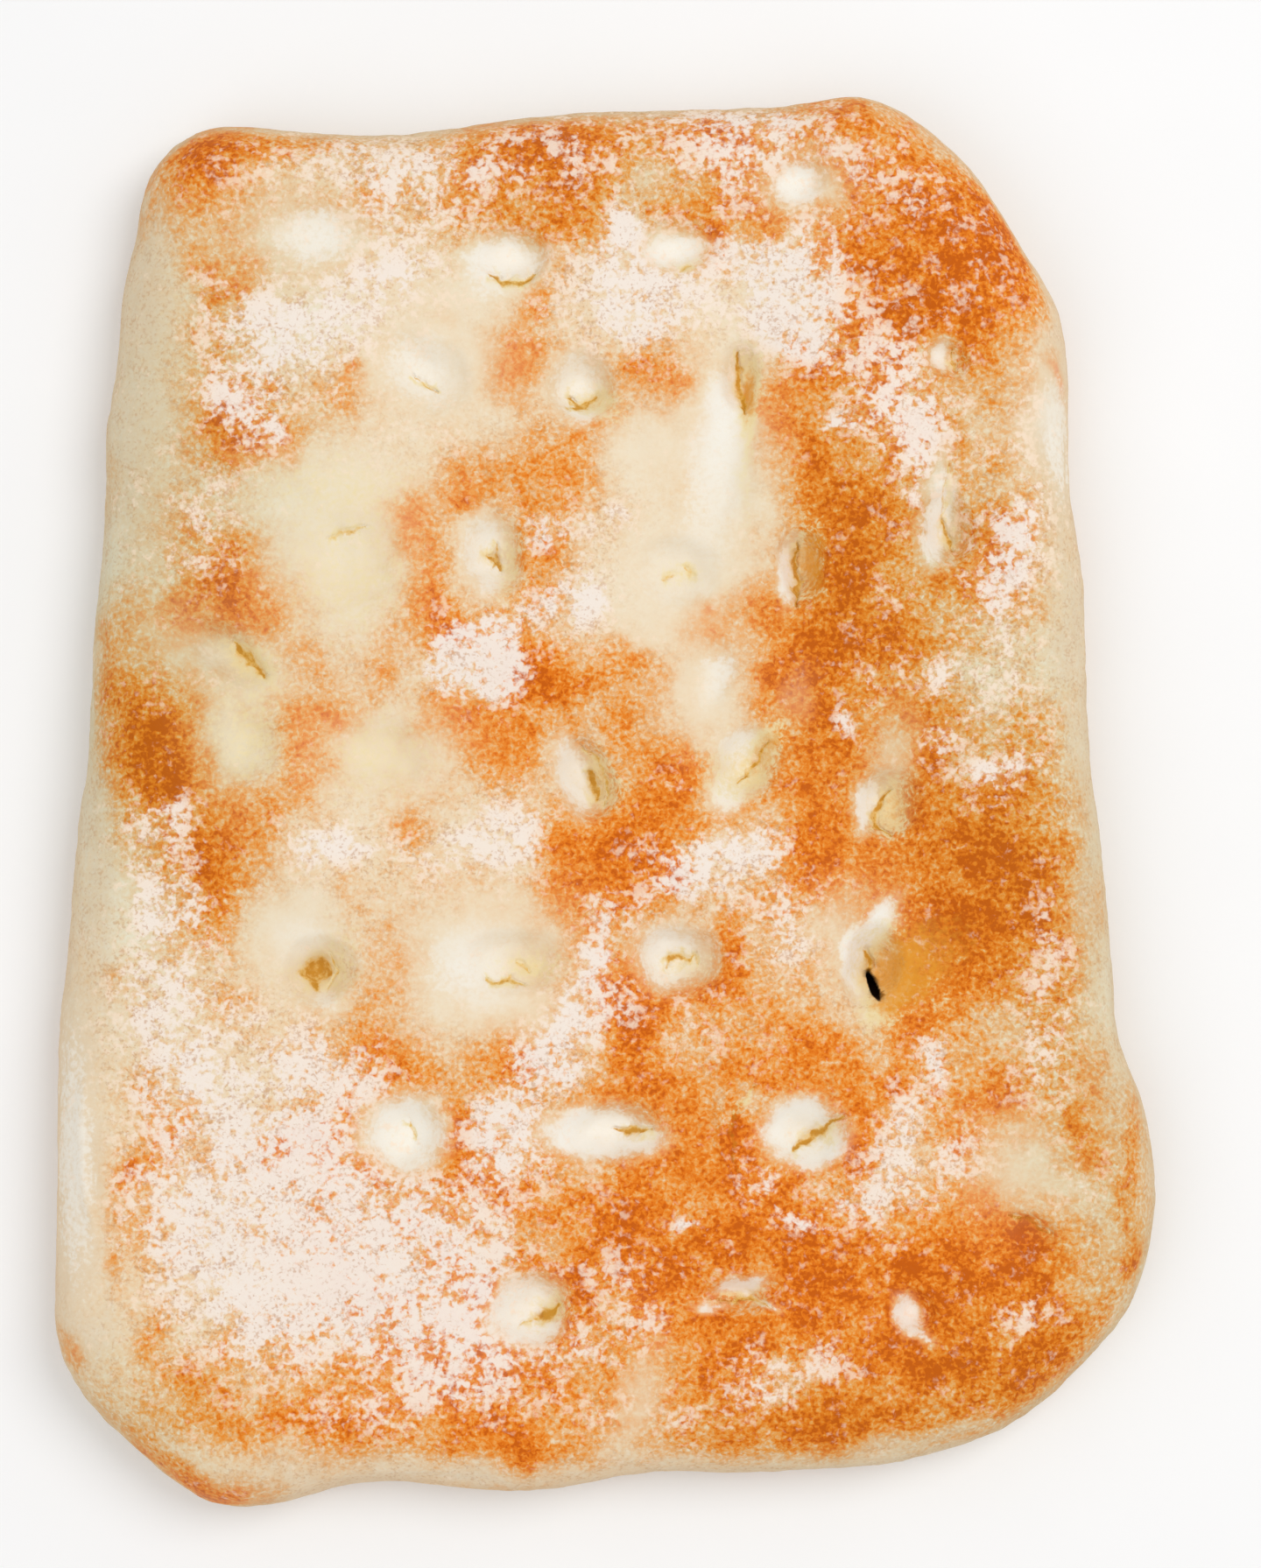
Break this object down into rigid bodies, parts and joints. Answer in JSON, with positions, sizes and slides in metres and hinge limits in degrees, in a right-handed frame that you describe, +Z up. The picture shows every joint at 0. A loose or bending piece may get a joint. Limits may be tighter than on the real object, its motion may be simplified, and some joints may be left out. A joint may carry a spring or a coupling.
{
  "type": "schiacciata",
  "caption": "Whole schiacciata: a flat, roughly rectangular loaf with rounded edges, fingertip dimples, blisters and a floury browned crust, lying on its flat base.",
  "frame": {"origin": "middle of the bounding box at the level of the flat underside", "axes": "+Z up through the crust, +Y along the loaf towards its narrower end, +X across it"},
  "size_m": [0.2508, 0.3234, 0.0284],
  "materials": {
    "crust": "matt baked crust, browned in patches and dusted with flour"
  },
  "bodies": {
    "root": {"schiacciata": "crust"}
  },
  "joints": []
}
